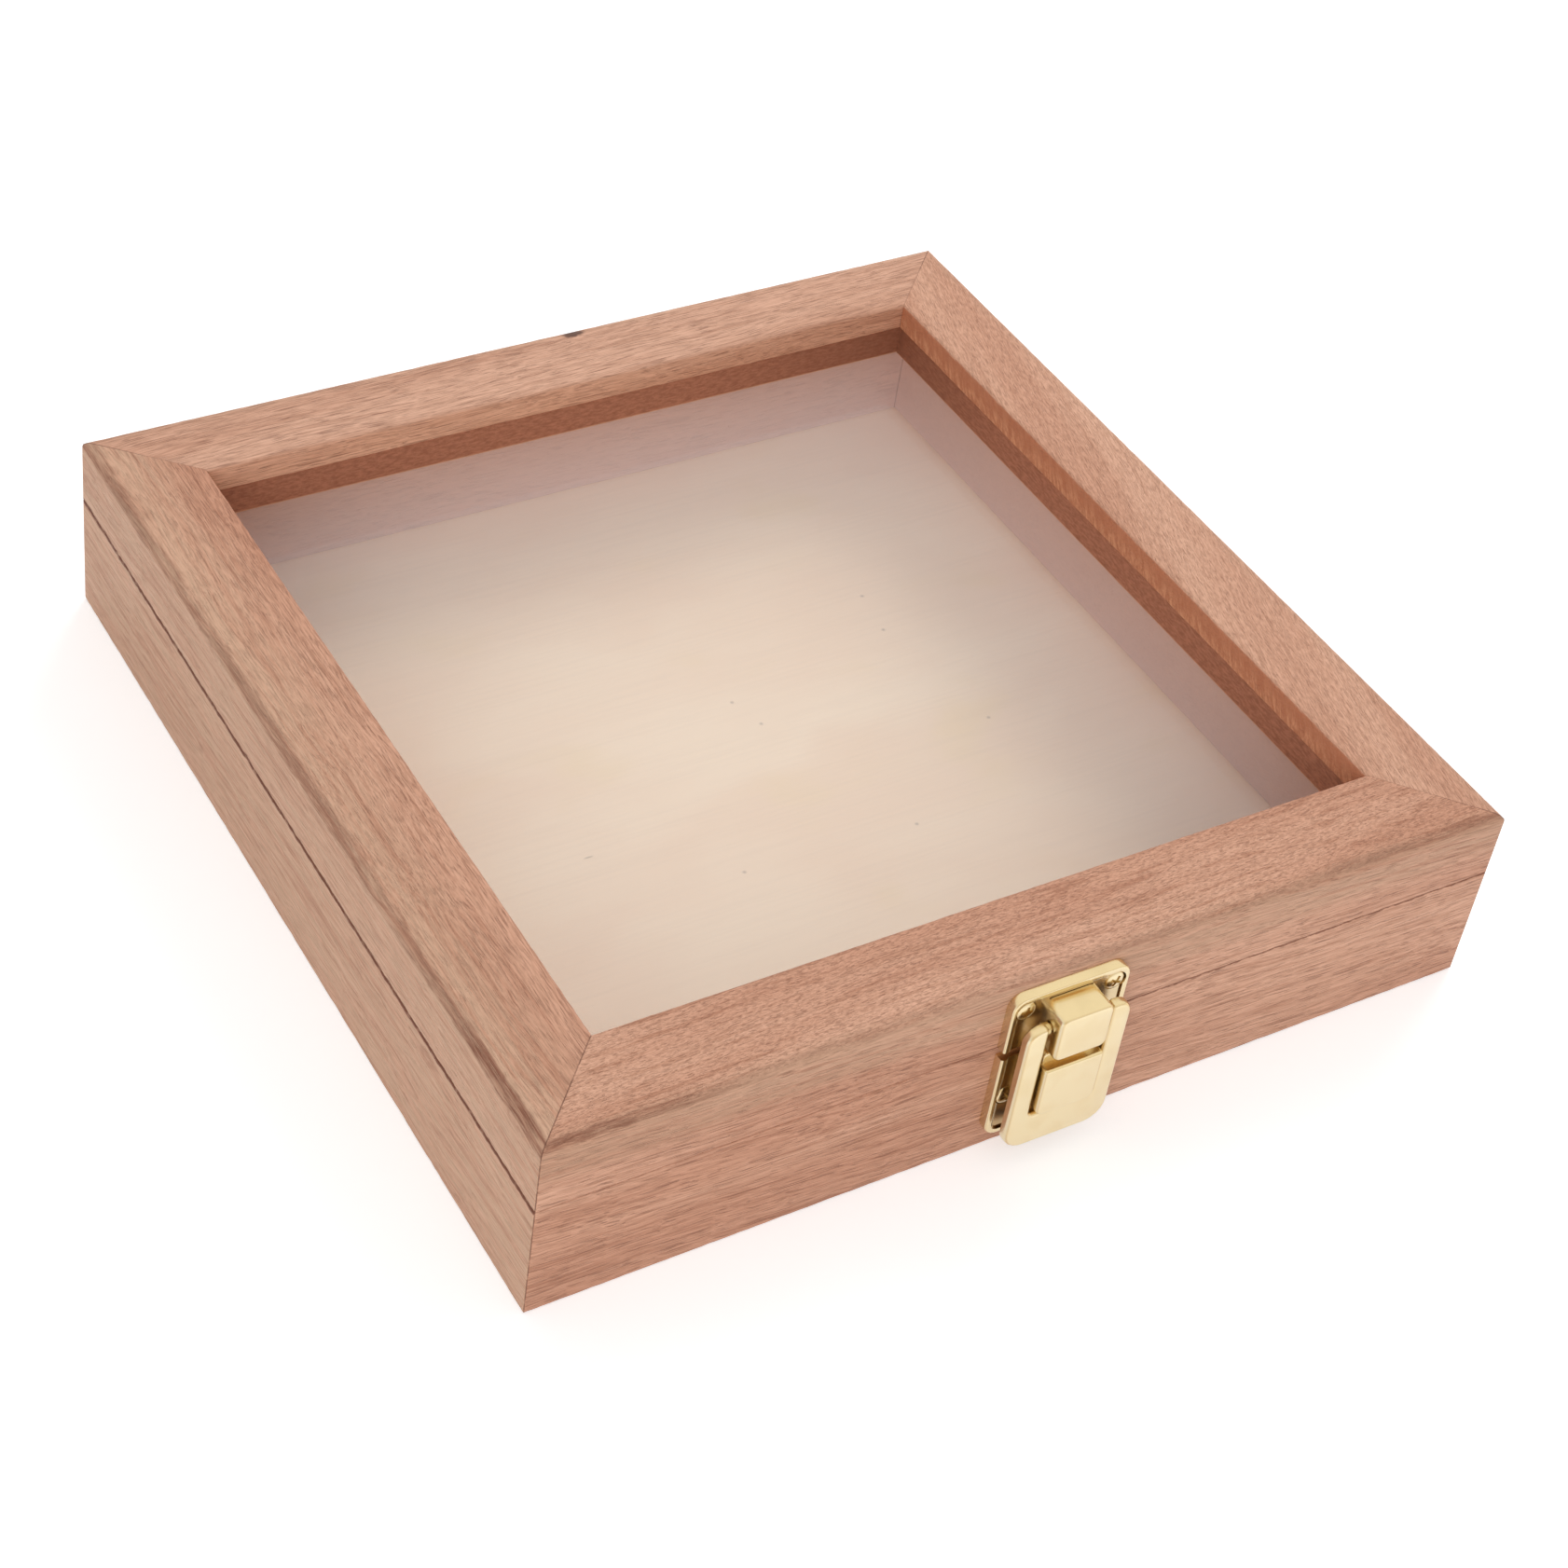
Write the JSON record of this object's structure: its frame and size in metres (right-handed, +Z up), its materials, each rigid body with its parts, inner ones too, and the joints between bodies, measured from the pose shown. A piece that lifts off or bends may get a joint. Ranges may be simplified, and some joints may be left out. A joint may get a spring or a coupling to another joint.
{
  "type": "jewelry box",
  "caption": "Low square wooden box with a glazed hinged lid, a thin floor and a brass flap latch at the front.",
  "frame": {"origin": "middle of the wooden box's underside, level with the surface that it stands on", "axes": "+X along the front to the right, +Y from the latch at the front to the hinges at the back, +Z up"},
  "size_m": [0.2, 0.2122, 0.0412],
  "materials": {
    "walnut": "satin",
    "floor_plywood": "matte",
    "dark_strip": "satin",
    "clear_glass": "gloss",
    "hinge_brass": "satin",
    "latch_brass": "polished",
    "screw_brass": "polished"
  },
  "bodies": {
    "base": {"base_wall_front": "walnut", "base_wall_back": "walnut", "base_wall_left": "walnut", "base_wall_right": "walnut", "base_floor_panel": "floor_plywood", "left_hinge_base_leaf": "hinge_brass", "right_hinge_base_leaf": "hinge_brass", "left_hinge_pin": "hinge_brass", "right_hinge_pin": "hinge_brass", "hinge_base_screws": "screw_brass", "latch_base_plate": "latch_brass", "latch_base_screws": "screw_brass"},
    "lid": {"lid_rail_front": "walnut", "lid_rail_back": "walnut", "lid_rail_left": "walnut", "lid_rail_right": "walnut", "glass_strip_front": "dark_strip", "glass_strip_back": "dark_strip", "glass_strip_left": "dark_strip", "glass_strip_right": "dark_strip", "glass_pane": "clear_glass", "left_hinge_lid_leaf": "hinge_brass", "right_hinge_lid_leaf": "hinge_brass", "hinge_lid_screws": "screw_brass", "latch_lid_plate": "latch_brass", "latch_lid_screws": "screw_brass", "latch_pin": "latch_brass"},
    "flap": {"latch_flap": "latch_brass"}
  },
  "joints": [
    {"name": "lid_hinge", "type": "hinge", "parent": "base", "child": "lid", "pos_m": [0, 0.1018, 0.0258], "axis": [-1, 0, 0], "range_deg": [0, 105]},
    {"name": "flap_pivot", "type": "hinge", "parent": "lid", "child": "flap", "pos_m": [0.0018, -0.104, 0.0321], "axis": [-1, 0, 0], "range_deg": [0, 100]}
  ]
}
